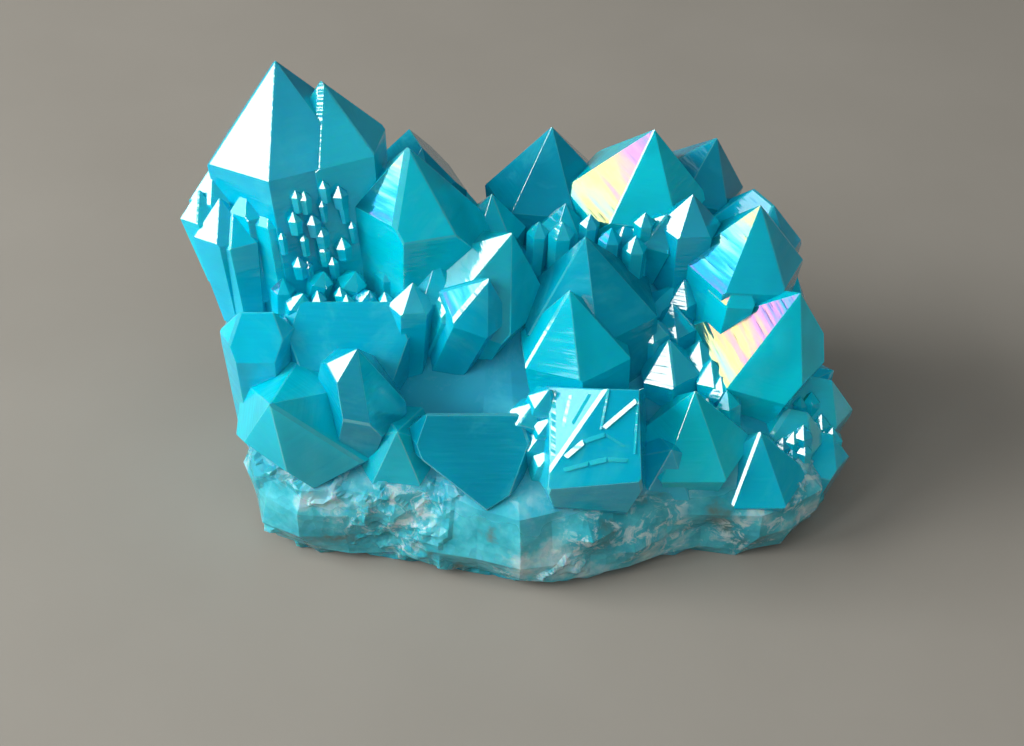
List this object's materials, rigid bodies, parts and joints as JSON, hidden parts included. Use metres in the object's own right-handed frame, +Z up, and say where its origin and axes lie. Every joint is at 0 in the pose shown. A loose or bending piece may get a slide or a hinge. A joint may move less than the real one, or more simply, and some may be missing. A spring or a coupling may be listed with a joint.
{
  "type": "quartz crystal cluster",
  "caption": "Palm-sized cluster of stout six-sided quartz points on a broken, flat-cut foot, coated a see-through iridescent aqua.",
  "frame": {"origin": "on the flat underside, under the middle of the piece's length", "axes": "+X along the length, +Z up, -Y is the front; the tall point stands at the -X end"},
  "size_m": [0.1003, 0.0649, 0.066],
  "materials": {
    "aqua_quartz": "glossy, iridescent coat over clear to milky quartz"
  },
  "bodies": {
    "root": {"quartz_cluster": "aqua_quartz"}
  },
  "joints": []
}
